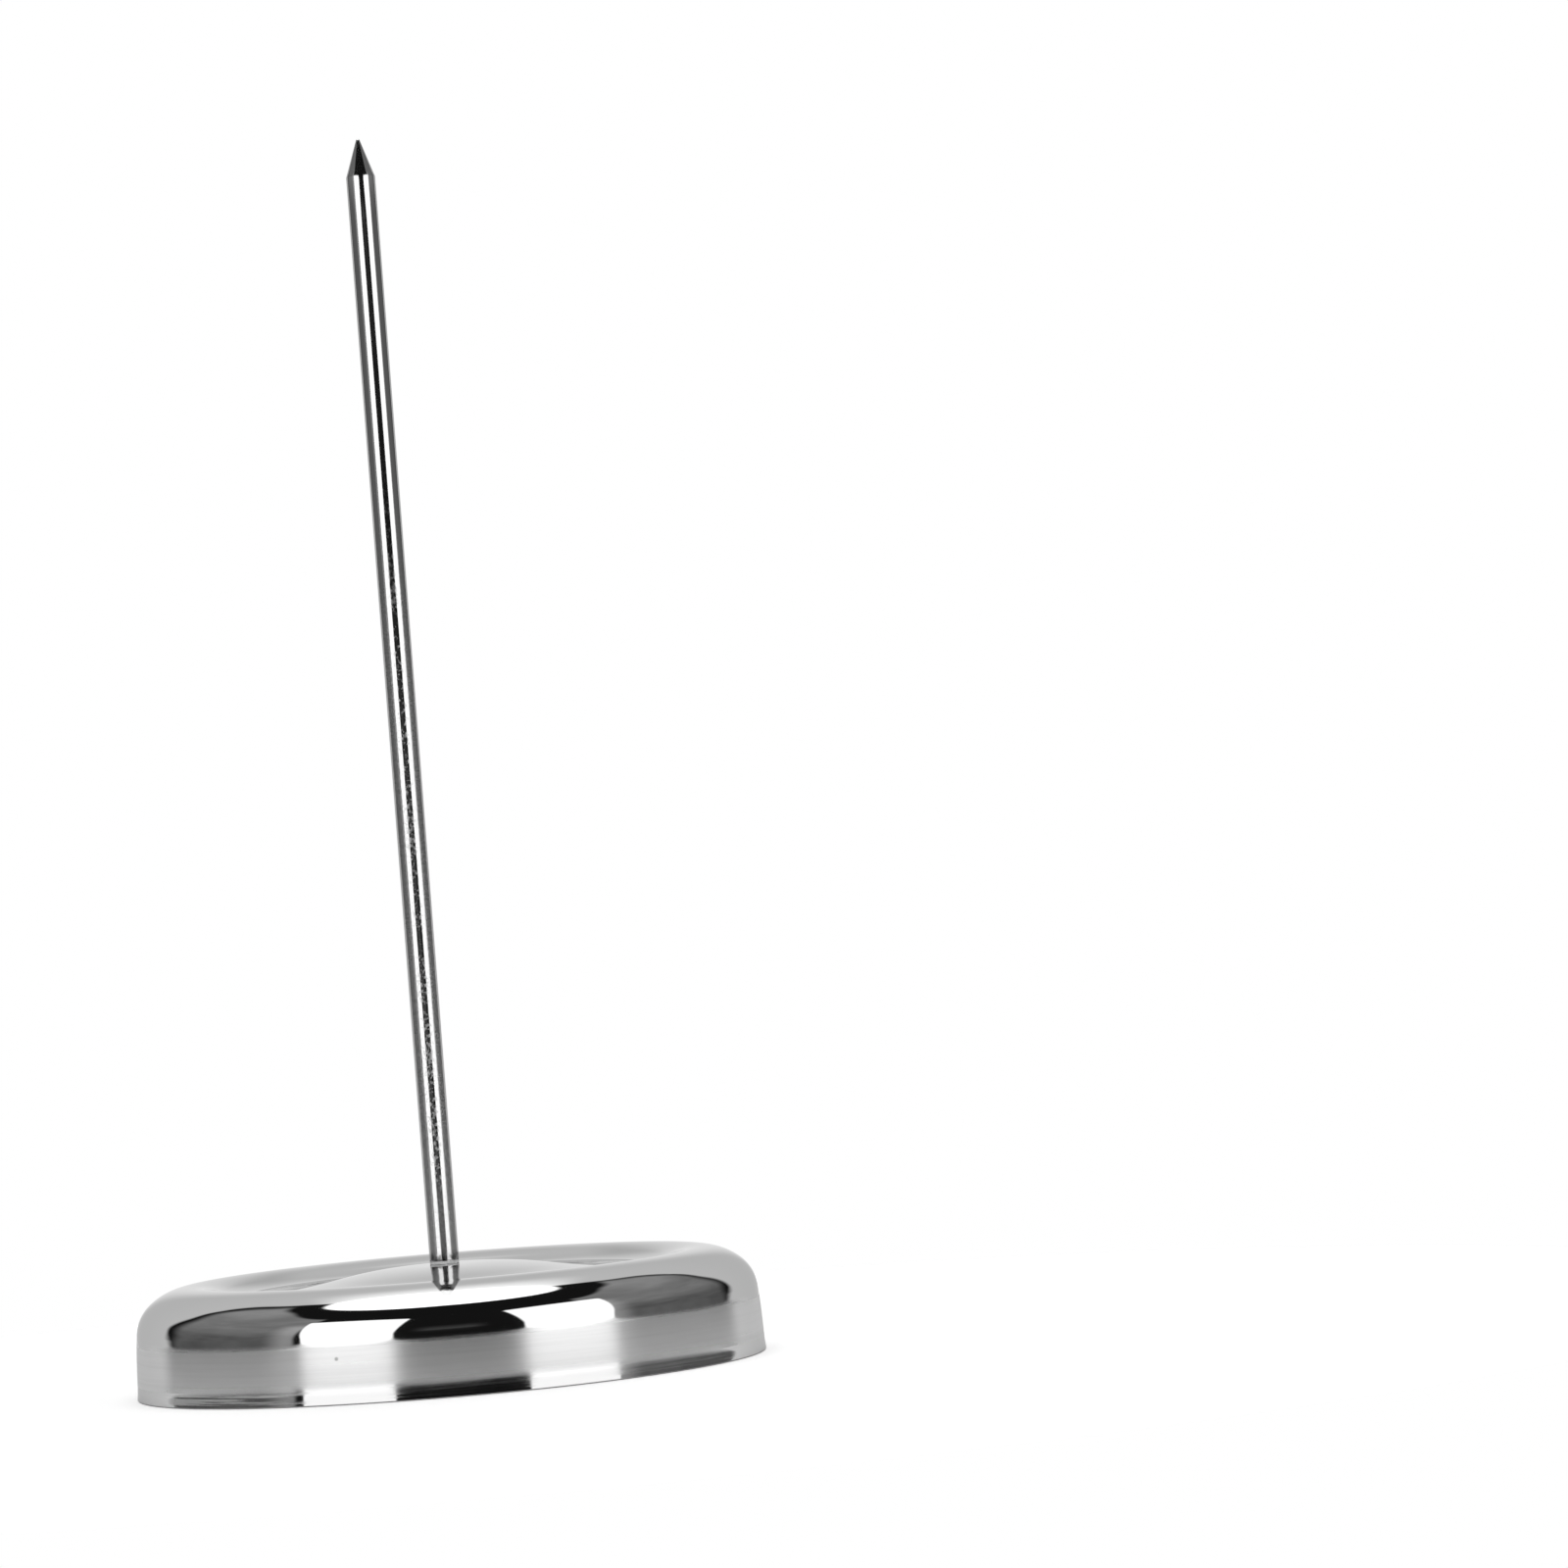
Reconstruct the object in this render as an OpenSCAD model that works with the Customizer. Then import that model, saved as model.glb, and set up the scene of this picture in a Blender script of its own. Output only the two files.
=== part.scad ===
// Bill spike: a polished steel rod with a ground point, bolted upright on a pressed round base.
// Millimetres. +Z is up along the spike, and the origin is the middle of the ring that the base rests on.

/* [Base] */
// Outside diameter of the base, at its rim
base_d = 86; // [76:1:110]
// Height of the raised crest ring over the table
crest_h = 14.7; // [13:0.1:20]
// Thickness of the pressed sheet
sheet = 0.8; // [0.5:0.1:1.2]
// Lean of the skirt towards the axis where it meets the shoulder, in degrees
skirt_lean_top = 5.2; // [3:0.1:6]
// Lean of the skirt just over the hem, in degrees
skirt_lean_low = 0.8; // [0.2:0.1:2]
// Shoulder radius beside the skirt
shoulder_side_r = 5.7; // [5:0.1:8]
// Shoulder radius beside the crest
shoulder_crest_r = 8.7; // [7:0.1:11]
// Steepness at which the two shoulder radii meet, in degrees
shoulder_split = 40; // [35:1:55]

/* [Dish] */
// Diameter of the valley, along its lowest line
valley_d = 52.4; // [44:0.2:56]
// Depth of the valley under the crest ring
valley_depth = 1.85; // [1:0.05:3]
// Height of the middle mound over the valley
mound_h = 2.15; // [1:0.05:3]
// Diameter of the flat seat on top of the mound
seat_d = 7.4; // [7:0.1:12]

/* [Hem] */
// Height of the sheet that is folded in at the rim
hem_h = 2; // [1.5:0.1:3]
// Flare of the hem, as its lean towards the axis, in degrees
hem_lean = 4.5; // [3:0.1:6]
// Rounding of the two edges of the fold
hem_round = 0.15; // [0.1:0.05:0.6]
// Least width of the flat that the rim rests on
hem_flat = 0.4; // [0.2:0.05:0.6]

/* [Spike] */
// Height of the point over the table
spike_top = 170; // [120:1:220]
// Diameter of the spike
spike_d = 4; // [3.8:0.1:6]
// Length of the ground point
point_l = 5.3; // [4:0.1:12]
// Radius of the blunt end of the point
point_end_r = 0.28; // [0.15:0.01:0.5]
// Rounding of the foot's edge
foot_round = 0.1; // [0.05:0.05:0.4]

/* [Fastening] */
// Diameter of the threaded tenon under the spike
tenon_d = 2.5; // [2:0.1:2.8]
// Length of the tenon past the nut
tenon_out = 1; // [0.5:0.1:3]
// Bevel at the end of the tenon
tenon_bevel = 0.3; // [0.1:0.05:0.5]
// Gap round the tenon in the sheet
hole_gap = 0.05; // [0.02:0.01:0.15]
// Gap round the tenon in the two washers
washer_gap = 0.1; // [0.05:0.01:0.2]
// Gap between the nut and the crests of the thread
thread_gap = 0.04; // [0.02:0.01:0.1]
// Outside diameter of the plain washer
washer_d = 6; // [5:0.1:7]
// Thickness of the plain washer
washer_t = 0.5; // [0.3:0.1:1]
// Outside diameter of the spring washer
spring_d = 5.1; // [4.5:0.1:6]
// Thickness of the spring washer, pressed flat
spring_t = 0.6; // [0.4:0.1:1]
// Width of the slit in the spring washer
slit_w = 0.5; // [0.3:0.1:0.8]
// Slant of the slit from the axis, in degrees
slit_slant = 25; // [10:1:35]
// Width of the nut across its flats
nut_af = 5; // [4.5:0.1:6]
// Height of the nut
nut_h = 2; // [1.6:0.1:3]
// Bevel round the nut's corners, in degrees
nut_bevel = 30; // [15:1:35]
// Widening of the nut's thread at each mouth
nut_mouth = 0.15; // [0.05:0.05:0.3]

/* [Hidden] */
base_r = base_d / 2;
seat_r = seat_d / 2;
valley_r = valley_d / 2;
spike_r = spike_d / 2;
tenon_r = tenon_d / 2;
hole_r = tenon_r + hole_gap;

// Steps in a quarter circle of an outline and along the skirt, and sides of a full round
quarter_steps = 12;
skirt_steps = 6;
round_sides = 96;
cut_past = 1;

// Heights, from the valley up to the seat and down again through the stack of fasteners
valley_z = crest_h - valley_depth;
seat_z = valley_z + mound_h;
washer_z = seat_z - sheet - washer_t;
spring_z = washer_z - spring_t;
nut_z = spring_z - nut_h;
tenon_z = nut_z - tenon_out;

// Where the shoulder starts and ends: steepness is 0 on the crest and grows towards the skirt
skirt_steep = 90 - skirt_lean_top;
shoulder_x = (shoulder_crest_r - shoulder_side_r) * sin(shoulder_split);
shoulder_z = crest_h - shoulder_crest_r + (shoulder_crest_r - shoulder_side_r) * cos(shoulder_split);
skirt_top_z = shoulder_z + shoulder_side_r * cos(skirt_steep);

// The skirt is crowned: one long arc leads from the top of the hem to the shoulder
hem_steep = 90 - hem_lean;
skirt_foot_steep = 90 - skirt_lean_low;
skirt_r = (skirt_top_z - hem_h) / (cos(skirt_steep) - cos(skirt_foot_steep));
skirt_centre = [base_r - hem_h * tan(hem_lean), hem_h]
    - skirt_r * [sin(skirt_foot_steep), cos(skirt_foot_steep)];
crest_r = skirt_centre[0] + (skirt_r - shoulder_side_r) * sin(skirt_steep) - shoulder_x;

// The fold's rounding stays inside its own two layers
hem_fillet = min(hem_round, sheet - hem_flat / 2);

// Points of an arc: angles run from straight up towards +X
function arc(centre, r, from, to) =
    let (steps = max(1, ceil(abs(to - from) / 90 * quarter_steps)))
    [for (i = [0:steps])
        let (a = from + (to - from) * i / steps)
        centre + r * [sin(a), cos(a)]];

// Two equal arcs that lead, level at both ends, from one height to another
// depth shifts the line under the outside face by that much
function step_line(from, to, depth) =
    let (rise = to[1] - from[1],
         up = sign(rise),
         turn = 2 * atan(abs(rise) / (to[0] - from[0])),
         r = (to[0] - from[0]) / (2 * sin(turn)),
         first = from + [0, up * r],
         last = to - [0, up * r],
         first_arc = up > 0 ? arc(first, r + depth, 180, 180 - turn) : arc(first, r - depth, 0, turn),
         last_arc = up > 0 ? arc(last, r - depth, -turn, 0) : arc(last, r + depth, 180 + turn, 180))
    concat(first_arc, last_arc);

// The skirt's face from the shoulder down to the hem, whose own corner ends the inside face
function skirt_line(depth) =
    let (last = depth > 0 ? skirt_steps - 1 : skirt_steps)
    [for (i = [0:last])
        let (a = skirt_steep + (skirt_foot_steep - skirt_steep) * i / skirt_steps)
        skirt_centre + (skirt_r - depth) * [sin(a), cos(a)]];

// The sheet's face from the middle out to the hem
function sheet_line(depth) = concat(
    [[hole_r, seat_z - depth]],
    step_line([seat_r, seat_z], [valley_r, valley_z], depth),
    step_line([valley_r, valley_z], [crest_r, crest_h], depth),
    arc([crest_r, crest_h - shoulder_crest_r], shoulder_crest_r - depth, 0, shoulder_split),
    arc([crest_r + shoulder_x, shoulder_z], shoulder_side_r - depth, shoulder_split, skirt_steep),
    skirt_line(depth));

// Distance of the hem from the axis at a height, under the outside face by depth
function hem_x(z, depth) = base_r - z * tan(hem_lean) - depth / cos(hem_lean);

// The flared, folded rim, from its outer edge round to the sheet's inside face
function hem_line() = concat(
    arc([hem_x(hem_fillet, hem_fillet), hem_fillet], hem_fillet, hem_steep, 180),
    arc([hem_x(hem_fillet, 2 * sheet - hem_fillet), hem_fillet], hem_fillet, 180, 180 + hem_steep),
    [[hem_x(hem_h, 2 * sheet), hem_h], [hem_x(hem_h, sheet), hem_h]]);

function reversed(points) = [for (i = [len(points) - 1:-1:0]) points[i]];

// Pressed cap of even thickness with its rim folded in once
module base_shell() {
    color("gainsboro")
        rotate_extrude($fn = round_sides)
            polygon(concat(sheet_line(0), hem_line(), reversed(sheet_line(sheet))));
}

// Half outline of the spike: tenon, rounded foot, shank, ground cone and its ball end
function spike_line() =
    let (end_z = spike_top - point_end_r,
         cone_z = spike_top - point_l,
         reach = end_z - cone_z,
         half_angle = atan(spike_r / reach) - asin(point_end_r / norm([spike_r, reach])))
    concat(
        [[0, tenon_z], [tenon_r - tenon_bevel, tenon_z], [tenon_r, tenon_z + tenon_bevel], [tenon_r, seat_z]],
        arc([spike_r - foot_round, seat_z + foot_round], foot_round, 180, 90),
        [[spike_r, cone_z]],
        arc([0, end_z], point_end_r, 90 - half_angle, 0));

// Straight rod with a ground point, stepped down at the foot for its thread
module spike_rod() {
    color("silver")
        rotate_extrude($fn = round_sides)
            polygon(spike_line());
}

// A flat ring round the tenon
module ring(d, t) {
    difference() {
        cylinder(d = d, h = t, $fn = round_sides);
        translate([0, 0, -cut_past])
            cylinder(r = tenon_r + washer_gap, h = t + 2 * cut_past, $fn = round_sides);
    }
}

// Washer that spreads the pull of the nut under the sheet
module plain_washer() {
    color("darkgray")
        translate([0, 0, washer_z])
            ring(washer_d, washer_t);
}

// Lock washer, pressed flat, with its slanted slit
module spring_washer() {
    slit_h = 2 * (spring_t + cut_past);
    color("dimgray")
        translate([0, 0, spring_z])
            difference() {
                ring(spring_d, spring_t);
                translate([spring_d / 2, 0, spring_t / 2])
                    rotate([slit_slant, 0, 0])
                        cube([spring_d, slit_w, slit_h], center = true);
            }
}

// Nut with its corners turned off at both faces and a widened mouth at each end of its thread
module hex_nut() {
    corner_r = nut_af / 2 / cos(30);
    bevel_h = (corner_r - nut_af / 2) * tan(nut_bevel);
    thread_r = tenon_r + thread_gap;
    color("darkgray")
        translate([0, 0, nut_z])
            difference() {
                intersection() {
                    cylinder(r = corner_r, h = nut_h, $fn = 6);
                    rotate_extrude($fn = round_sides)
                        polygon([[0, 0], [nut_af / 2, 0], [corner_r, bevel_h],
                                 [corner_r, nut_h - bevel_h], [nut_af / 2, nut_h], [0, nut_h]]);
                }
                rotate_extrude($fn = round_sides)
                    polygon([[0, 0], [thread_r + nut_mouth, 0], [thread_r, nut_mouth],
                             [thread_r, nut_h - nut_mouth], [thread_r + nut_mouth, nut_h], [0, nut_h]]);
            }
}

base_shell();
spike_rod();
plain_washer();
spring_washer();
hex_nut();
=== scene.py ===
"""Dress the bill spike and set it in a small studio.

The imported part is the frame. Each solid gives way to a finer mesh of the same size, worked out
on rings of points, and each mesh gets a steel finish made of shader nodes. Polished steel shows
the room it stands in, so the room is made with care: two soft boxes in front, a round lamp
overhead, dark cloth between them and pale walls behind. Sizes are in millimetres and angles in
degrees until they reach a mesh, a lamp or the camera.
"""

from __future__ import annotations

import logging
import math
from collections.abc import Mapping, Sequence
from dataclasses import dataclass
from enum import Enum, IntEnum
from typing import Any

import bpy
import numpy as np
from mathutils import Matrix, Vector

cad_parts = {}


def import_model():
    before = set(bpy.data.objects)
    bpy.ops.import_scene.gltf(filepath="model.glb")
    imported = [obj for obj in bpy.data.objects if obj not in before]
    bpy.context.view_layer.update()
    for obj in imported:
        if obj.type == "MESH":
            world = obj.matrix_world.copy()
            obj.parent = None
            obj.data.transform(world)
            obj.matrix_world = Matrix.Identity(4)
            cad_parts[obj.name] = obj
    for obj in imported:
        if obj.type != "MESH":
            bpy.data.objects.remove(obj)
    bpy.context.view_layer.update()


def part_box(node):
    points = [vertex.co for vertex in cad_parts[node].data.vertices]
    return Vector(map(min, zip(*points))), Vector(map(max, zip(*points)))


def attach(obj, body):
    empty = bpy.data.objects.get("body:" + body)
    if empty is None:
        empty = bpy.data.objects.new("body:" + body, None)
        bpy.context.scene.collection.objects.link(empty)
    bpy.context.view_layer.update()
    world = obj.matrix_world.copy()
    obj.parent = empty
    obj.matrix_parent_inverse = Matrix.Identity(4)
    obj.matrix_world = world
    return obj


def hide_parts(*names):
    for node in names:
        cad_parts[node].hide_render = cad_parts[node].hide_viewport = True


LOG = logging.getLogger("bill_spike")

MM = 0.001
PER_MM = 1.0 / MM
BODY = "root"

# Directions in an outline, as angles from straight up towards the outside
UP = 0.0
OUT = 90.0
DOWN = 180.0
IN = 270.0
FULL = 360.0

# Middle of a noise value, and brightness left where steel is seen almost edge on
MIDDLE = 0.5
EDGE_TONE = 0.85


class Slot(Enum):
    """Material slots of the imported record."""

    BASE = "base_steel"
    SPIKE = "spike_steel"
    FASTENER = "fastener_steel"
    SPRING = "spring_steel"


class BaseZone(IntEnum):
    """Places of the finishes on the pressed base."""

    POLISHED = 0
    BELT = 1
    INSIDE = 2


class SpikeZone(IntEnum):
    """Places of the finishes on the spike."""

    SHANK = 0
    POINT = 1
    FOOT = 2
    THREAD = 3


class Wire:
    """The output of a shader node, ready for arithmetic."""

    def __init__(self, graph: Graph, socket: bpy.types.NodeSocket) -> None:
        """Keep the graph and the socket that carries the value."""
        self.graph = graph
        self.socket = socket

    def __add__(self, other: Wire | float) -> Wire:
        """Sum of two values."""
        return self.graph.math("ADD", self, other)

    def __radd__(self, other: float) -> Wire:
        """Sum of a number and this value."""
        return self.graph.math("ADD", other, self)

    def __sub__(self, other: Wire | float) -> Wire:
        """Difference of two values."""
        return self.graph.math("SUBTRACT", self, other)

    def __rsub__(self, other: float) -> Wire:
        """A number less this value."""
        return self.graph.math("SUBTRACT", other, self)

    def __mul__(self, other: Wire | float) -> Wire:
        """Product of two values."""
        return self.graph.math("MULTIPLY", self, other)

    def __rmul__(self, other: float) -> Wire:
        """Product of a number and this value."""
        return self.graph.math("MULTIPLY", other, self)

    def __truediv__(self, other: Wire | float) -> Wire:
        """Quotient of two values."""
        return self.graph.math("DIVIDE", self, other)

    def __rtruediv__(self, other: float) -> Wire:
        """A number over this value."""
        return self.graph.math("DIVIDE", other, self)

    def __abs__(self) -> Wire:
        """Value without its sign."""
        return self.graph.math("ABSOLUTE", self)

    def largest(self, other: Wire | float) -> Wire:
        """Larger of two values."""
        return self.graph.math("MAXIMUM", self, other)

    def toward(self, other: Wire | float, share: Wire | float) -> Wire:
        """This value moved towards another by a share from 0 to 1."""
        return self + (other - self) * share

    def swing(self, amount: float) -> Wire:
        """An amount times how far this noise value lies over its middle."""
        return (self - MIDDLE) * amount

    def between(self, start: Wire | float, end: Wire | float) -> Wire:
        """Smooth rise with this value.

        Args:
            start: value at which the rise starts from 0.
            end: value at which it reaches 1.

        Returns:
            The rise.
        """
        settings = {"interpolation_type": "SMOOTHSTEP"}
        sockets = {"Value": self, "From Min": start, "From Max": end}
        return self.graph.wire(self.graph.node("ShaderNodeMapRange", settings, sockets), "Result")


class Graph:
    """A node tree that is filled from expressions."""

    def __init__(self, tree: bpy.types.NodeTree) -> None:
        """Start from an empty tree."""
        self.tree = tree
        self.tree.nodes.clear()

    def node(
        self,
        kind: str,
        settings: Mapping[str, Any] | None = None,
        sockets: Mapping[str | int, Any] | None = None,
    ) -> bpy.types.Node:
        """Add a node.

        Args:
            kind: type name of the node.
            settings: properties of the node, set first.
            sockets: value or wire for each input that differs from its default.

        Returns:
            The new node.
        """
        made = self.tree.nodes.new(kind)
        for name, value in (settings or {}).items():
            setattr(made, name, value)
        for name, value in (sockets or {}).items():
            if isinstance(value, Wire):
                self.tree.links.new(value.socket, made.inputs[name])
            else:
                made.inputs[name].default_value = value
        return made

    def wire(self, node: bpy.types.Node, output: str | int = 0) -> Wire:
        """One output of a node as a wire."""
        return Wire(self, node.outputs[output])

    def math(self, operation: str, *values: Wire | float) -> Wire:
        """Result of a Math node on one or two values."""
        return self.wire(self.node("ShaderNodeMath", {"operation": operation}, dict(enumerate(values))))

    def length(self, *parts: Wire) -> Wire:
        """Length of a line from its parts: the root of the sum of their squares."""
        return self.math("SQRT", sum((part * part for part in parts[1:]), parts[0] * parts[0]))

    def split(self, vector: Wire) -> tuple[Wire, Wire, Wire]:
        """The three parts of a vector."""
        parts = self.node("ShaderNodeSeparateXYZ", None, {"Vector": vector})
        return self.wire(parts, "X"), self.wire(parts, "Y"), self.wire(parts, "Z")

    def join(self, x: Wire | float, y: Wire | float, z: Wire | float) -> Wire:
        """A vector of three values."""
        return self.wire(self.node("ShaderNodeCombineXYZ", None, {"X": x, "Y": y, "Z": z}))

    def place(self) -> tuple[Wire, Wire, Wire]:
        """Object coordinates of the shaded point, in millimetres."""
        x, y, z = self.split(self.wire(self.node("ShaderNodeTexCoord"), "Object"))
        return x * PER_MM, y * PER_MM, z * PER_MM

    def seen(self) -> Wire:
        """1 for what the camera sees itself, 0 for what it sees mirrored or lit."""
        return self.wire(self.node("ShaderNodeLightPath"), "Is Camera Ray")

    def behind(self) -> Wire:
        """1 on the back of a face, 0 on its front."""
        return self.wire(self.node("ShaderNodeNewGeometry"), "Backfacing")

    def grey(self, value: Wire) -> Wire:
        """A value as a neutral colour."""
        sockets = {"Red": value, "Green": value, "Blue": value}
        return self.wire(self.node("ShaderNodeCombineColor", None, sockets))

    def bump(self, height: Wire, depth: float) -> Wire:
        """Normal of a surface raised by height times depth millimetres."""
        sockets = {"Height": height, "Distance": depth * MM, "Strength": 1.0}
        return self.wire(self.node("ShaderNodeBump", None, sockets), "Normal")

    def mix(self, share: Wire, first: bpy.types.Node, second: bpy.types.Node) -> None:
        """Send a mix of two shaders to the material's output."""
        sockets = {0: share, 1: self.wire(first), 2: self.wire(second)}
        self.surface(self.node("ShaderNodeMixShader", None, sockets))

    def surface(self, shader: bpy.types.Node) -> None:
        """Send a shader to the material's output."""
        self.node("ShaderNodeOutputMaterial", None, {"Surface": self.wire(shader)})


@dataclass(frozen=True)
class Step:
    """A smooth change by an amount between two places."""

    start: float
    end: float
    amount: float = 1.0

    def up(self, value: Wire) -> Wire:
        """What has come of the amount: none at the start, all at the end."""
        return self.amount * value.between(self.start, self.end)

    def down(self, value: Wire) -> Wire:
        """What is left of the amount: all at the start, none at the end."""
        return self.amount * (1.0 - value.between(self.start, self.end))


@dataclass(frozen=True)
class Pattern:
    """Smooth noise: the size of its humps along each axis, and its finer layers."""

    size: tuple[float, float, float]
    detail: float = 2.0
    roughness: float = 0.5

    def at(self, point: tuple[Wire, Wire, Wire]) -> Wire:
        """Work out the noise.

        Args:
            point: the three parts of a place.

        Returns:
            Value from 0 to 1 there.
        """
        graph = point[0].graph
        vector = graph.join(*(part / size for part, size in zip(point, self.size)))
        sockets = {"Vector": vector, "Scale": 1.0, "Detail": self.detail, "Roughness": self.roughness}
        return graph.wire(graph.node("ShaderNodeTexNoise", None, sockets))


# Front of the base, by its place along the line of sight: some marks lie only there
FRONT = Step(-25.0, -19.0)


def new_material(name: str) -> tuple[bpy.types.Material, Graph]:
    """Make an empty material.

    Args:
        name: name of the material.

    Returns:
        The material and the graph to fill.
    """
    material = bpy.data.materials.new(name)
    material.use_nodes = True
    return material, Graph(material.node_tree)


def metal(
    graph: Graph, tone: Wire, roughness: Wire, normal: Wire, grain: float = 0.0, edge: float = EDGE_TONE
) -> None:
    """Finish a graph as bare metal.

    Args:
        graph: graph of the material.
        tone: neutral reflectance of the metal.
        roughness: blur of its reflections.
        normal: bumped normal.
        grain: how much further reflections spread across the brushed lines than along them.
        edge: brightness left where the surface is seen almost edge on.
    """
    across_the_lines = 0.25
    sockets = {
        "Base Color": graph.grey(tone),
        "Metallic": 1.0,
        "Roughness": roughness,
        "Normal": normal,
        "Anisotropic": grain,
        "Anisotropic Rotation": across_the_lines if grain else 0.0,
        "Specular Tint": (edge, edge, edge, 1.0),
    }
    graph.surface(graph.node("ShaderNodeBsdfPrincipled", None, sockets))


@dataclass(frozen=True)
class PolishedSteel:
    """Buffed sheet: a mirror with a trace of turning lines, hairlines and haze.

    The brushed belt meets it at two heights, and its marks run out over a short way. Painted
    shade darkens the front of the hem low down and the left and right sides of the dish's valley.
    """

    belt_low: float
    belt_high: float
    tone: float = 0.8
    roughness: float = 0.03
    lines: Pattern = Pattern((18.0, 18.0, 0.35))
    line_depth: float = 0.00002
    wave: Pattern = Pattern((7.0, 7.0, 7.0), 0.0)
    wave_depth: float = 0.0003
    haze: Pattern = Pattern((14.0, 14.0, 14.0), 4.0, 0.6)
    haze_roughness: float = 0.03
    haze_shade: float = 0.04
    side: Step = Step(41.0, 41.5)
    over_belt: Step = Step(4.0, 4.5)
    over_belt_front: Step = Step(-17.0, -11.0)
    under_belt: Step = Step(3.0, 3.5)
    run_out_above: float = 1.0
    run_out_below: float = 0.6
    run_out_roughness: float = 0.5
    hem_roughness: float = 0.2
    run_out_even: float = 0.25
    run_out_lined: float = 0.5
    belt_lift: float = 0.1
    hem_foot: Step = Step(0.3, 0.7)
    hem_head: Step = Step(1.4, 1.9)
    # painted shade: the front of the hem is darker low down, towards the floor
    hem_painted_shade: Step = Step(1.0, 2.0, 0.1)
    streaks: Pattern = Pattern((26.0, 26.0, 0.3), 3.0, 0.6)
    streak_share: Step = Step(0.38, 0.58, 0.6)
    streaks_lost: Step = Step(-25.0, -17.0, 0.85)
    valley_inner: Step = Step(24.0, 28.0)
    valley_outer: Step = Step(34.0, 37.0)
    # painted shade: the dish's valley is darker towards its left and right sides
    valley_sides_painted_shade: Step = Step(19.0, 25.0, 0.17)

    def material(self) -> bpy.types.Material:
        """Build the material.

        Returns:
            The finish of the outside of the base, apart from its belt.
        """
        material, graph = new_material("polished_steel")
        x, y, z = point = graph.place()
        radius = graph.length(x, y)
        lines = self.lines.at((x, y, radius - z))
        haze = self.haze.at(point)
        side = self.side.up(radius)
        front_side = side * FRONT.down(y)
        over = Step(self.belt_high, self.belt_high + self.run_out_above).down(z) * self.over_belt.up(z)
        over = over * side * self.over_belt_front.down(y)
        under = Step(self.belt_low - self.run_out_below, self.belt_low).up(z) * self.under_belt.down(z)
        under = under * front_side
        run_out = self.run_out_roughness * over + self.hem_roughness * under
        streaked = front_side * self.hem_foot.up(z) * self.hem_head.down(z)
        streaked = streaked * (1.0 - self.streaks_lost.up(x)) * self.streak_share.up(self.streaks.at(point))
        roughness = self.roughness + self.haze_roughness * haze * lines + streaked
        roughness = roughness + run_out * (self.run_out_even + self.run_out_lined * lines)
        tone = self.tone * (1.0 - self.haze_shade * haze) * (1.0 + self.belt_lift * (over + under))
        # Painted shade: the front of the hem darkens low down, towards the floor
        tone = tone * (1.0 - self.hem_painted_shade.down(z) * front_side)
        # Painted shade: the valley of the dish is darkened towards its left and right sides
        in_valley = self.valley_inner.up(radius) * self.valley_outer.down(radius)
        tone = tone * (1.0 - in_valley * self.valley_sides_painted_shade.up(abs(x)))
        relief = lines * (self.line_depth / self.wave_depth) + self.wave.at(point)
        metal(graph, tone, roughness, graph.bump(relief, self.wave_depth))
        return material


@dataclass(frozen=True)
class BrushedBelt:
    """Satin skirt: fine lines run round the base, with a few darker strokes and one pit.

    Painted shade darkens the belt towards its far left and right sides.
    """

    tone: float = 0.89
    roughness: float = 0.28
    roughness_swing: float = 0.03
    grain: float = 0.9
    strokes: Pattern = Pattern((30.0, 30.0, 0.45), 3.0, 0.6)
    stroke_shade: Step = Step(0.35, 0.75, 0.05)
    lines: Pattern = Pattern((14.0, 14.0, 0.12), 2.0, 0.6)
    line_depth: float = 0.00015
    run_out: Step = Step(2.0, 2.9, 0.55)
    pit: tuple[float, float, float] = (-14.9, -40.0, 6.0)
    pit_edge: Step = Step(0.14, 0.35)
    pit_tone: float = 0.45
    # painted shade: the belt is darker towards its far left and right
    far_sides_painted_shade: Step = Step(38.0, 40.5, 0.05)

    def material(self) -> bpy.types.Material:
        """Build the material.

        Returns:
            The finish of the belt.
        """
        material, graph = new_material("brushed_belt")
        x, y, z = point = graph.place()
        strokes = self.strokes.at(point)
        off_pit = graph.length(*(part - middle for part, middle in zip(point, self.pit)))
        tone = self.tone * (1.0 - self.stroke_shade.up(strokes))
        tone = tone.toward(self.pit_tone, self.pit_edge.down(off_pit))
        # Painted shade: darker towards the far left and right of the belt
        tone = tone * (1.0 - self.far_sides_painted_shade.up(abs(x)))
        roughness = self.roughness + strokes.swing(self.roughness_swing)
        roughness = roughness * (1.0 - self.run_out.down(z) * FRONT.down(y))
        metal(graph, tone, roughness, graph.bump(self.lines.at(point), self.line_depth), self.grain)
        return material


@dataclass(frozen=True)
class PressedSteel:
    """Inside of the base: mill finish with draw marks along the pull and light oxide bloom."""

    tone: float = 0.56
    roughness: float = 0.36
    marks: Pattern = Pattern((0.4, 0.4, 9.0))
    mark_depth: float = 0.004
    mark_tone: float = 0.06
    mark_roughness: float = 0.1
    bloom: Pattern = Pattern((11.0, 11.0, 11.0), 5.0, 0.65)
    bloom_tone: float = 0.16
    bloom_roughness: float = 0.2

    def material(self) -> bpy.types.Material:
        """Build the material.

        Returns:
            The finish of the inside and of the folded hem.
        """
        material, graph = new_material("pressed_inside")
        point = graph.place()
        marks = self.marks.at(point)
        bloom = self.bloom.at(point)
        tone = self.tone + bloom.swing(self.bloom_tone) + marks.swing(self.mark_tone)
        roughness = self.roughness + bloom.swing(self.bloom_roughness) + marks.swing(self.mark_roughness)
        metal(graph, tone, roughness, graph.bump(marks, self.mark_depth))
        return material


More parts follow.
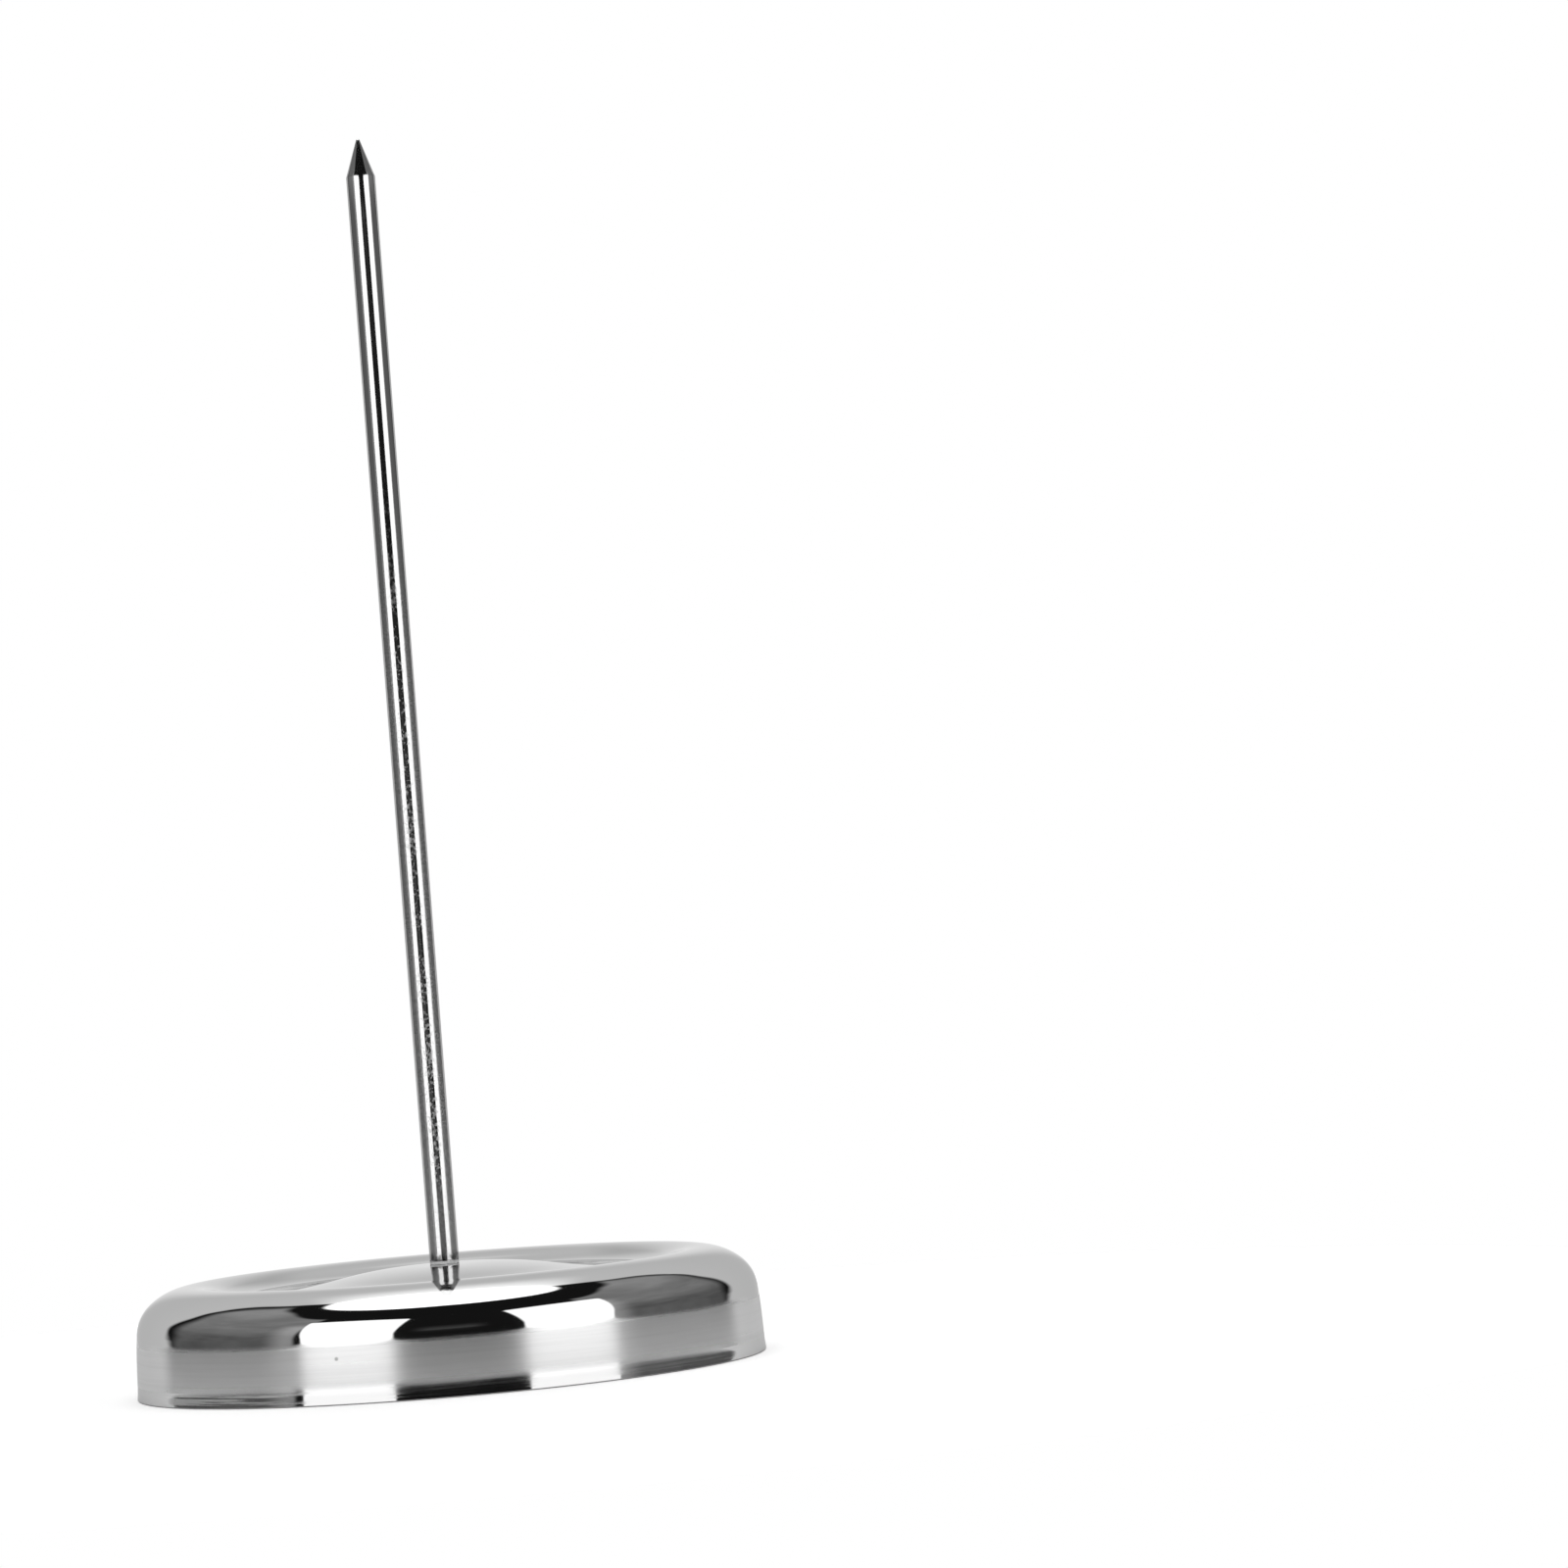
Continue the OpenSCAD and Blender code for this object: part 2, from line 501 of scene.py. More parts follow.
@dataclass(frozen=True)
class DrawnWire:
    """Bright drawn rod: lengthwise lines, and pitting that grows towards the foot.

    The pits are coarser on a strip along the front, and the rod is darker in patches just above the foot.
    """

    tone: float = 0.8
    roughness: float = 0.05
    edge: float = 0.7
    lines: Pattern = Pattern((0.14, 0.14, 22.0))
    line_depth: float = 0.0004
    line_shade: Step = Step(0.5, 0.8, 0.1)
    line_roughness: float = 0.05
    pits: Pattern = Pattern((0.1, 0.1, 0.1))
    pit_depth: float = 0.0006
    pit_share: Step = Step(0.5, 0.6)
    pit_roughness: float = 0.29
    pits_lost: Step = Step(90.0, 132.0, 0.9)
    specks: Pattern = Pattern((0.3, 0.3, 0.45), 3.0, 0.6)
    speck_share: Step = Step(0.49, 0.62)
    drift: Pattern = Pattern((9.0, 9.0, 9.0), 1.0)
    drift_swing: float = 0.45
    strip_width: Step = Step(0.6, 1.1)
    strip_front: Step = Step(-1.0, 0.0)
    strip_foot: Step = Step(22.0, 30.0)
    blotches: Pattern = Pattern((1.0, 1.0, 1.0), 3.0, 0.6)
    patch_share: Step = Step(0.42, 0.6)
    patch_foot: Step = Step(15.9, 16.9, 0.75)

    def material(self) -> bpy.types.Material:
        """Build the material.

        Returns:
            The finish of the shank.
        """
        material, graph = new_material("drawn_wire")
        x, y, z = point = graph.place()
        lines = self.lines.at(point)
        pits = self.pits.at(point)
        pitted = 1.0 - self.pits_lost.up(z)
        strip = self.strip_width.down(abs(x)) * self.strip_front.down(y) * self.strip_foot.up(z)
        specks = self.specks.at(point) + self.drift.at(point).swing(self.drift_swing)
        dull = self.pit_share.up(pits).toward(self.speck_share.up(specks), strip)
        # Darker in patches over the lowest two millimetres above the foot
        darker_in_patches = self.patch_share.up(self.blotches.at(point)) * self.patch_foot.down(z)
        tone = self.tone * (1.0 - self.line_shade.up(lines)) * (1.0 - darker_in_patches)
        roughness = self.roughness + self.line_roughness * lines + self.pit_roughness * dull * pitted
        relief = pits * pitted + lines * (self.line_depth / self.pit_depth)
        metal(graph, tone, roughness, graph.bump(relief, self.pit_depth), edge=self.edge)
        return material


@dataclass(frozen=True)
class GroundPoint:
    """Ground cone: grinding lines round the axis, a little darker than the rod."""

    tone: float = 0.66
    roughness: float = 0.05
    lines: Pattern = Pattern((2.5, 2.5, 0.09), 3.0)
    line_depth: float = 0.0004
    line_shade: float = 0.2
    line_roughness: float = 0.06

    def material(self) -> bpy.types.Material:
        """Build the material.

        Returns:
            The finish of the point.
        """
        material, graph = new_material("ground_point")
        lines = self.lines.at(graph.place())
        tone = self.tone * (1.0 - self.line_shade * lines)
        roughness = self.roughness + self.line_roughness * lines
        metal(graph, tone, roughness, graph.bump(lines, self.line_depth))
        return material


@dataclass(frozen=True)
class FastenerSteel:
    """Turned or hardened small parts: fine grain, tool lines and rubbed high spots."""

    name: str
    tone: float
    roughness: float
    grain: Pattern = Pattern((0.25, 0.25, 0.25), 3.0)
    grain_depth: float = 0.003
    grain_roughness: float = 0.08
    blotches: Pattern = Pattern((1.6, 1.6, 1.6), 4.0, 0.6)
    stain_tone: float = 0.3
    stain_roughness: float = 0.2
    turning: Pattern = Pattern((0.08, 4.0, 4.0), 1.0)
    turning_tone: float = 0.12
    turning_share: float = 0.5

    def material(self) -> bpy.types.Material:
        """Build the material.

        Returns:
            The finish under its own name.
        """
        material, graph = new_material(self.name)
        x, y, _ = point = graph.place()
        grain = self.grain.at(point)
        blotches = self.blotches.at(point)
        turning = self.turning.at((graph.length(x, y), x, y))
        tone = self.tone * (1.0 + blotches.swing(self.stain_tone) + turning.swing(self.turning_tone))
        roughness = self.roughness + blotches.swing(self.stain_roughness) + grain.swing(self.grain_roughness)
        metal(graph, tone, roughness, graph.bump(grain + self.turning_share * turning, self.grain_depth))
        return material


def arc(centre: Sequence[float], radius: float, start: float, end: float, step: float) -> np.ndarray:
    """Points of an arc in the plane of distance from the axis and height.

    A point is the centre plus the radius times (sin a, cos a), where the angle a is measured
    from straight up towards the outside.

    Args:
        centre: distance and height of the arc's centre.
        radius: radius of the arc.
        start: first angle.
        end: last angle.
        step: largest angle between two points.

    Returns:
        Array of distances and heights.
    """
    count = max(1, math.ceil(abs(end - start) / step))
    angles = np.radians(np.linspace(start, end, count + 1))
    return np.asarray(centre) + radius * np.column_stack([np.sin(angles), np.cos(angles)])


def straight(start: Sequence[float], end: Sequence[float], count: int) -> np.ndarray:
    """Points at even spacing on a straight line, both ends included."""
    return np.linspace(start, end, count + 1)


def step_line(start: Sequence[float], end: Sequence[float], depth: float, step: float) -> np.ndarray:
    """Two equal arcs that lead, level at both ends, from one height to another.

    Each arc turns by twice the slope's angle, so that the pair is smooth where it meets. The
    line lies under the outside face by depth: hollow arcs grow by it and round ones shrink.

    Args:
        start: distance and height of the first end on the outside face.
        end: distance and height of the last end on the outside face.
        depth: distance under the outside face.
        step: largest angle between two points.

    Returns:
        Array of distances and heights.
    """
    reach, rise = end[0] - start[0], end[1] - start[1]
    turn = 2 * math.degrees(math.atan(abs(rise) / reach))
    radius = reach / (2 * math.sin(math.radians(turn)))
    if rise > 0:
        first = arc((start[0], start[1] + radius), radius + depth, DOWN, DOWN - turn, step)
        last = arc((end[0], end[1] - radius), radius - depth, -turn, UP, step)
    else:
        first = arc((start[0], start[1] - radius), radius - depth, UP, turn, step)
        last = arc((end[0], end[1] + radius), radius + depth, DOWN + turn, DOWN, step)
    return np.vstack([first, last])


def outline(stretches: Sequence[tuple[np.ndarray, int]]) -> tuple[np.ndarray, np.ndarray]:
    """Join stretches of line into one outline.

    A point that repeats the one before it is dropped, and each point keeps the zone of the
    stretch that leads away from it.

    Args:
        stretches: points and zone of each stretch, in order.

    Returns:
        Points of the outline, and the zone of the band after each point.
    """
    same = 1e-6
    points = np.vstack([line for line, _ in stretches])
    zones = np.concatenate([np.full(len(line), zone) for line, zone in stretches])
    kept = np.append(np.linalg.norm(np.diff(points, axis=0), axis=1) > same, True)
    return points[kept], zones[kept]


def full_turn(count: int) -> np.ndarray:
    """Angles at even spacing round the axis, in radians."""
    return np.linspace(0.0, 2 * np.pi, count, endpoint=False)


def around(radius: np.ndarray, turn: np.ndarray, height: np.ndarray) -> np.ndarray:
    """Points (r cos t, r sin t, z) of arrays of distances r, angles t and heights z."""
    return np.stack(np.broadcast_arrays(radius * np.cos(turn), radius * np.sin(turn), height), axis=-1)


def spin(points: np.ndarray, segments: int) -> np.ndarray:
    """Turn an outline of distances and heights round the axis, each point into a ring."""
    return around(points[:, :1], full_turn(segments), points[:, 1:])


def add_object(name: str, data: bpy.types.ID) -> bpy.types.Object:
    """Put a mesh, a lamp or a camera into the scene.

    Args:
        name: name of the object.
        data: what the object shows.

    Returns:
        The new object.
    """
    made = bpy.data.objects.new(name, data)
    bpy.context.scene.collection.objects.link(made)
    return made


def ring_mesh(
    name: str,
    rings: np.ndarray,
    ends: tuple[np.ndarray, np.ndarray] | None = None,
    zones: np.ndarray | None = None,
    crease: float = 30.0,
) -> bpy.types.Object:
    """Make a closed mesh from rings of points.

    Neighbouring rings are joined by four-sided faces. With ends, a fan closes each end on its
    point; without them, the last ring is joined to the first.

    Args:
        name: name of the object.
        rings: array of rings, points and coordinates, in millimetres.
        ends: middle points of the first and the last ring, or None for a closed outline.
        zones: finish of the band after each ring.
        crease: angle past which an edge stays sharp, in degrees.

    Returns:
        The new object, linked to the scene.
    """
    count, segments = rings.shape[:2]
    bands = count - 1 if ends else count
    row = np.arange(bands)[:, None] * segments
    after = (np.arange(bands)[:, None] + 1) % count * segments
    here = np.arange(segments)[None, :]
    beside = (here + 1) % segments
    quads = np.stack([row + here, after + here, after + beside, row + beside], -1).reshape(-1, 4)
    vertices = rings.reshape(-1, 3)
    faces = quads.tolist()
    kinds = np.repeat(zones[:bands] if zones is not None else np.zeros(bands, int), segments)
    if ends:
        first, last = len(vertices), len(vertices) + 1
        vertices = np.vstack([vertices, *ends])
        bottom = (count - 1) * segments
        fan = np.column_stack([np.full(segments, first), here[0], beside[0]])
        tail = np.column_stack([np.full(segments, last), bottom + beside[0], bottom + here[0]])
        faces += fan.tolist() + tail.tolist()
        kinds = np.concatenate([kinds, np.full(segments, kinds[0]), np.full(segments, kinds[-1])])
    mesh = bpy.data.meshes.new(name)
    mesh.from_pydata((vertices * MM).tolist(), [], faces)
    mesh.polygons.foreach_set("material_index", kinds.astype(np.int32))
    mesh.polygons.foreach_set("use_smooth", np.ones(len(faces), bool))
    mesh.set_sharp_from_angle(angle=math.radians(crease))
    mesh.validate()
    mesh.update()
    return add_object(name, mesh)


def fit(piece: bpy.types.Object, node: str, finishes: Sequence[bpy.types.Material]) -> None:
    """Dress a piece and let it stand for its solid.

    Args:
        piece: the new mesh.
        node: solid that it replaces.
        finishes: materials in the order of the zones.
    """
    for finish in finishes:
        piece.data.materials.append(finish)
    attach(piece, BODY)
    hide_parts(node)
    low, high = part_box(node)
    corners = np.array(piece.bound_box)
    off = max(np.abs(corners.min(0) - low).max(), np.abs(corners.max(0) - high).max())
    LOG.info("%s: %d faces, %.3f mm off its solid", piece.name, len(piece.data.polygons), off * PER_MM)


@dataclass
class BaseShell:
    """Pressed cap: seat, mound, valley, crest, shoulder, skirt and folded hem."""

    base_d: float = 86.0
    crest_h: float = 14.7
    sheet: float = 0.8
    skirt_lean_top: float = 5.2
    skirt_lean_low: float = 0.8
    shoulder_side_r: float = 5.7
    shoulder_crest_r: float = 8.7
    shoulder_split: float = 40.0
    valley_d: float = 52.4
    valley_depth: float = 1.85
    mound_h: float = 2.15
    seat_d: float = 7.4
    hem_h: float = 2.0
    hem_lean: float = 4.5
    hem_fillet: float = 0.15
    hem_bend: float = 0.8
    belt_top: float = 7.4
    hole_r: float = 1.3
    segments: int = 360
    fine_step: float = 1.6
    dish_step: float = 0.7
    coarse_step: float = 4.0
    skirt_step: float = 0.4
    fillet_step: float = 15.0
    bend_rows: int = 6
    hem_rows: int = 3

    def __post_init__(self) -> None:
        """Work out heights and the places where the shoulder starts and ends."""
        split = math.radians(self.shoulder_split)
        growth = self.shoulder_crest_r - self.shoulder_side_r
        top, low = math.radians(self.skirt_lean_top), math.radians(self.skirt_lean_low)
        self.valley_z = self.crest_h - self.valley_depth
        self.seat_z = self.valley_z + self.mound_h
        self.shoulder_x = growth * math.sin(split)
        self.shoulder_z = self.crest_h - self.shoulder_crest_r + growth * math.cos(split)
        self.skirt_top_z = self.shoulder_z + self.shoulder_side_r * math.sin(top)
        self.skirt_r = (self.skirt_top_z - self.hem_h) / (math.sin(top) - math.sin(low))
        self.skirt_centre = (
            self.hem_x(self.hem_h, 0.0) - self.skirt_r * math.cos(low),
            self.hem_h - self.skirt_r * math.sin(low),
        )
        shoulder_reach = (self.skirt_r - self.shoulder_side_r) * math.cos(top)
        self.crest_r = self.skirt_centre[0] + shoulder_reach - self.shoulder_x

    def hem_x(self, z: float, depth: float) -> float:
        """Distance of the hem from the axis at a height, under the outside face by depth."""
        lean = math.radians(self.hem_lean)
        return self.base_d / 2 - z * math.tan(lean) - depth / math.cos(lean)

    def lean_at(self, z: float) -> float:
        """Lean of the skirt at a height, in degrees."""
        return math.degrees(math.asin((z - self.skirt_centre[1]) / self.skirt_r))

    def skirt(self, depth: float, top: float, low: float) -> np.ndarray:
        """Line of the crowned skirt between two leans, under the outside face by depth."""
        return arc(self.skirt_centre, self.skirt_r - depth, OUT - top, OUT - low, self.skirt_step)

    def face(self, depth: float, dish_step: float, bend_step: float) -> np.ndarray:
        """Line of the sheet from the hole out to the end of the shoulder.

        Args:
            depth: distance under the outside face.
            dish_step: largest angle between two points of the dish.
            bend_step: largest angle between two points of the shoulder.

        Returns:
            Array of distances and heights.
        """
        seat = (self.seat_d / 2, self.seat_z)
        valley = (self.valley_d / 2, self.valley_z)
        crest = (self.crest_r, self.crest_h)
        crest_bend = (self.crest_r, self.crest_h - self.shoulder_crest_r)
        side_bend = (self.crest_r + self.shoulder_x, self.shoulder_z)
        crest_r = self.shoulder_crest_r - depth
        side_r = self.shoulder_side_r - depth
        return np.vstack(
            [
                [[self.hole_r, self.seat_z - depth]],
                step_line(seat, valley, depth, dish_step),
                step_line(valley, crest, depth, dish_step),
                arc(crest_bend, crest_r, UP, self.shoulder_split, bend_step),
                arc(side_bend, side_r, self.shoulder_split, OUT - self.skirt_lean_top, bend_step),
            ]
        )

    def bend(self) -> np.ndarray:
        """Soft bend from the skirt into the flared hem.

        With t from 0 to 1 a point is (1 - t)^2 times the start, plus 2 t (1 - t) times the corner
        of skirt and hem, plus t^2 times the end.

        Returns:
            Array of distances and heights.
        """
        start = self.skirt(0.0, self.lean_at(self.hem_h + self.hem_bend), self.skirt_lean_low)[0]
        corner = np.array([self.hem_x(self.hem_h, 0.0), self.hem_h])
        low = self.hem_h - self.hem_bend
        end = np.array([self.hem_x(low, 0.0), low])
        along = np.linspace(0.0, 1.0, 2 * self.bend_rows + 1)[:, None]
        return (1 - along) ** 2 * start + 2 * along * (1 - along) * corner + along**2 * end

    def hem(self) -> np.ndarray:
        """Line of the folded rim, from its outer edge round to the inside face.

        Returns:
            Array of distances and heights.
        """
        fillet = self.hem_fillet
        outer = (self.hem_x(fillet, fillet), fillet)
        inner = (self.hem_x(fillet, 2 * self.sheet - fillet), fillet)
        steep = OUT - self.hem_lean
        return np.vstack(
            [
                arc(outer, fillet, steep, DOWN, self.fillet_step),
                arc(inner, fillet, DOWN, DOWN + steep, self.fillet_step),
                [[self.hem_x(self.hem_h, 2 * self.sheet), self.hem_h]],
                [[self.hem_x(self.hem_h, self.sheet), self.hem_h]],
            ]
        )

    def build(self) -> bpy.types.Object:
        """Spin the whole outline: outside face, belt, hem, inside face and hole.

        Returns:
            The mesh of the base.
        """
        belt_lean = self.lean_at(self.belt_top)
        upper = self.skirt(0.0, self.skirt_lean_top, belt_lean)
        bend = self.bend()
        skirt = self.skirt(0.0, belt_lean, self.lean_at(self.hem_h + self.hem_bend))
        belt = np.vstack([skirt[:-1], bend[: self.bend_rows + 1]])
        edge = (self.hem_x(self.hem_fillet, 0.0), self.hem_fillet)
        rim = np.vstack([bend[self.bend_rows : -1], straight(bend[-1], edge, self.hem_rows)])
        inside_face = self.face(self.sheet, self.coarse_step, self.coarse_step)
        inside_skirt = self.skirt(self.sheet, self.skirt_lean_top, self.skirt_lean_low)[:-1]
        points, zones = outline(
            [
                (self.face(0.0, self.dish_step, self.fine_step), BaseZone.POLISHED),
                (upper, BaseZone.POLISHED),
                (belt, BaseZone.BELT),
                (rim, BaseZone.POLISHED),
                (self.hem(), BaseZone.INSIDE),
                (np.vstack([inside_face, inside_skirt])[::-1], BaseZone.INSIDE),
            ]
        )
        return ring_mesh("base_shell_dressed", spin(points, self.segments), None, zones)

    def dress(self, piece: bpy.types.Object) -> None:
        """Polish the outside, brush the belt and leave the inside as pressed.

        Args:
            piece: the mesh of the base.
        """
        polished = PolishedSteel(belt_low=self.hem_h, belt_high=self.belt_top)
        finishes = [polished.material(), BrushedBelt().material(), PressedSteel().material()]
        fit(piece, "base_shell", finishes)


@dataclass
class SpikeRod:
    """Straight rod with a ground point and a threaded tenon under its foot."""

    seat_z: float
    nut_z: float
    top: float = 170.0
    diameter: float = 4.0
    point_l: float = 5.3
    point_end_r: float = 0.28
    foot_round: float = 0.1
    foot_ring: float = 0.45
    tenon_d: float = 2.5
    tenon_out: float = 1.0
    tenon_bevel: float = 0.3
    thread_pitch: float = 0.45
    thread_depth: float = 0.27
    thread_flat: float = 0.12
    thread_rows: int = 12
    tip_step: float = 6.0
    foot_step: float = 7.5
    cone_rows: int = 8
    shank_rows: int = 24
    segments: int = 128
    foot_steel: FastenerSteel = FastenerSteel("eased_edge", 1.0, 0.9)
    thread_steel: FastenerSteel = FastenerSteel("cut_thread", 0.6, 0.3)

    def __post_init__(self) -> None:
        """Work out where the tenon ends."""
        self.tenon_z = self.nut_z - self.tenon_out

    def rod_line(self) -> tuple[np.ndarray, np.ndarray]:
        """Outline from the ball end down the cone and the shank to the foot.

        Returns:
            Points of the outline, and the zone of the band after each point.
        """
        radius = self.diameter / 2
        end_z = self.top - self.point_end_r
        cone_z = self.top - self.point_l
        ring_z = self.seat_z + self.foot_ring
        reach = end_z - cone_z
        slope = math.atan(radius / reach) - math.asin(self.point_end_r / math.hypot(radius, reach))
        tip = arc((0.0, end_z), self.point_end_r, UP, OUT - math.degrees(slope), self.tip_step)[1:]
        foot = (radius - self.foot_round, self.seat_z + self.foot_round)
        return outline(
            [
                (tip, SpikeZone.POINT),
                (straight(tip[-1], (radius, cone_z), self.cone_rows), SpikeZone.POINT),
                (straight((radius, cone_z), (radius, ring_z), self.shank_rows), SpikeZone.SHANK),
                (np.array([[radius, ring_z]]), SpikeZone.FOOT),
                (arc(foot, self.foot_round, OUT, DOWN, self.foot_step), SpikeZone.FOOT),
            ]
        )

    def thread(self) -> np.ndarray:
        """Rings of the screw thread, from the foot down to the bevelled end.

        At angle t and height z the phase is the fraction of z / pitch - t / turn, the flank is a
        triangle wave of the phase with flat crests and roots, and the distance from the axis is
        the tenon's radius less the depth times that wave, held under the bevel at the end.

        Returns:
            Array of rings, points and coordinates.
        """
        flat = self.thread_flat
        count = round((self.seat_z - self.tenon_z) / self.thread_pitch * self.thread_rows)
        height = np.linspace(self.seat_z, self.tenon_z, count + 1)[:, None]
        turn = full_turn(self.segments)[None, :]
        phase = np.mod(height / self.thread_pitch - turn / (2 * np.pi), 1.0)
        wave = np.clip((np.abs(2 * phase - 1) - flat) / (1 - 2 * flat), 0.0, 1.0)
        end = self.tenon_d / 2 - self.tenon_bevel + (height - self.tenon_z)
        return around(np.minimum(self.tenon_d / 2 - self.thread_depth * wave, end), turn, height)

    def build(self) -> bpy.types.Object:
        """Join the rod and its thread into one closed mesh.

        Returns:
            The mesh of the spike.
        """
        points, zones = self.rod_line()
        thread = self.thread()
        rings = np.concatenate([spin(points, self.segments), thread])
        zones = np.concatenate([zones, np.full(len(thread), SpikeZone.THREAD)])
        ends = (np.array([[0.0, 0.0, self.top]]), np.array([[0.0, 0.0, self.tenon_z]]))
        return ring_mesh("spike_rod_dressed", rings, ends, zones)

    def dress(self, piece: bpy.types.Object) -> None:
        """Give the shank, the point, the eased foot and the thread their steel."""
        finishes = (DrawnWire(), GroundPoint(), self.foot_steel, self.thread_steel)
        fit(piece, "spike_rod", [finish.material() for finish in finishes])


@dataclass
class PlainWasher:
    """Stamped flat ring under the sheet."""

    bottom: float
    outer_d: float = 6.0
    inner_r: float = 1.35
    thickness: float = 0.5
    die_roll: float = 0.12
    burr: float = 0.03
    edge_step: float = 22.5
    segments: int = 96
    steel: FastenerSteel = FastenerSteel("stamped_steel", 0.66, 0.28)

    def build(self) -> bpy.types.Object:
        """Spin the section: edges rolled over above and almost sharp below.

        Returns:
            The mesh of the washer.
        """
        top = self.bottom + self.thickness
        outer = self.outer_d / 2
        roll, burr, step = self.die_roll, self.burr, self.edge_step
        points, zones = outline(
            [
                (arc((outer - roll, top - roll), roll, UP, OUT, step), 0),
                (arc((outer - burr, self.bottom + burr), burr, OUT, DOWN, step), 0),
                (arc((self.inner_r + burr, self.bottom + burr), burr, DOWN, IN, step), 0),
                (arc((self.inner_r + burr, top - burr), burr, IN, FULL, step), 0),
            ]
        )
        return ring_mesh("plain_washer_dressed", spin(points, self.segments), None, zones)

    def dress(self, piece: bpy.types.Object) -> None:
        """Bright stamped steel."""
        fit(piece, "plain_washer", [self.steel.material()])


@dataclass
class SpringWasher:
    """Split ring, pressed flat, with its slanted slit."""

    bottom: float
    outer_d: float = 5.1
    inner_r: float = 1.35
    thickness: float = 0.6
    slit_w: float = 0.5
    slit_slant: float = 25.0
    edge: float = 0.06
    edge_step: float = 30.0
    path_steps: int = 96
    crease: float = 35.0
    steel: FastenerSteel = FastenerSteel("spring_steel", 0.3, 0.34)

    def build(self) -> bpy.types.Object:
        """Carry the section round the axis from one side of the slit to the other.

        A point of the section at distance r and height h starts at the angle whose sine is the
        slit's near side over r, where both sides shift with h by the tangent of the slant, and
        ends at the angle of the far side, a full turn on.

        Returns:
            The mesh of the washer.
        """
        outer, top, edge, step = self.outer_d / 2, self.thickness, self.edge, self.edge_step
        section = np.vstack(
            [
                arc((outer - edge, edge), edge, DOWN, OUT, step),
                arc((outer - edge, top - edge), edge, OUT, UP, step),
                arc((self.inner_r + edge, top - edge), edge, UP, -OUT, step),
                arc((self.inner_r + edge, edge), edge, -OUT, -DOWN, step),
            ]
        )
        radius, height = section[:, 0], section[:, 1]
        slant = math.radians(self.slit_slant)
        middle = -(height - self.thickness / 2) * math.tan(slant)
        half = self.slit_w / 2 / math.cos(slant)
        start = np.arcsin((middle + half) / radius)
        end = 2 * np.pi + np.arcsin((middle - half) / radius)
        turn = start + np.linspace(0.0, 1.0, self.path_steps + 1)[:, None] * (end - start)
        rings = around(radius, turn, self.bottom + height)
        ends = (rings[0].mean(0, keepdims=True), rings[-1].mean(0, keepdims=True))
        return ring_mesh("spring_washer_dressed", rings, ends, None, self.crease)

    def dress(self, piece: bpy.types.Object) -> None:
        """Dark hardened steel."""
        fit(piece, "spring_washer", [self.steel.material()])


@dataclass
class HexNut:
    """Nut with its corners turned off at both faces and widened thread mouths."""

    bottom: float
    across_flats: float = 5.0
    height: float = 2.0
    bevel: float = 30.0
    thread_r: float = 1.29
    mouth: float = 0.15
    sides: int = 6
    side_steps: int = 20
    bevel_rows: int = 8
    crease: float = 20.0
    steel: FastenerSteel = FastenerSteel("turned_steel", 0.62, 0.26)

    def build(self) -> bpy.types.Object:
        """Rings of the nut: upper face, six sides, lower face and thread.

        On the sides the distance from the axis at angle t and height z is the smaller of the
        hexagon's, half the width over the cosine of t off the middle of its flat, and the
        bevel's, half the width plus the height under the face over the tangent of the bevel.

        Returns:
            The mesh of the nut.
        """
        flat_r = self.across_flats / 2
        half_flat = np.pi / self.sides
        rise = math.tan(math.radians(self.bevel))
        bevel_h = flat_r * (1 / math.cos(half_flat) - 1) * rise
        turn = full_turn(self.sides * self.side_steps)[None, :]
        hexagon = flat_r / np.cos(np.mod(turn, 2 * half_flat) - half_flat)
        beveled = np.linspace(0.0, bevel_h, self.bevel_rows + 1)
        drop = np.concatenate([beveled, self.height - beveled[::-1]])[:, None]
        from_face = np.minimum(drop, self.height - drop)
        sides = np.minimum(hexagon, flat_r + from_face / rise)
        wide = self.thread_r + self.mouth
        bore_r = np.array([wide, self.thread_r, self.thread_r, wide])[:, None]
        bore_drop = np.array([self.height, self.height - self.mouth, self.mouth, 0.0])[:, None]
        radius = np.concatenate([sides, np.broadcast_to(bore_r, (len(bore_r), turn.size))])
        depth = np.concatenate([drop, bore_drop])
        rings = around(radius, turn, self.bottom + self.height - depth)
        return ring_mesh("hex_nut_dressed", rings, None, None, self.crease)

    def dress(self, piece: bpy.types.Object) -> None:
        """Bright turned steel."""
        fit(piece, "hex_nut", [self.steel.material()])


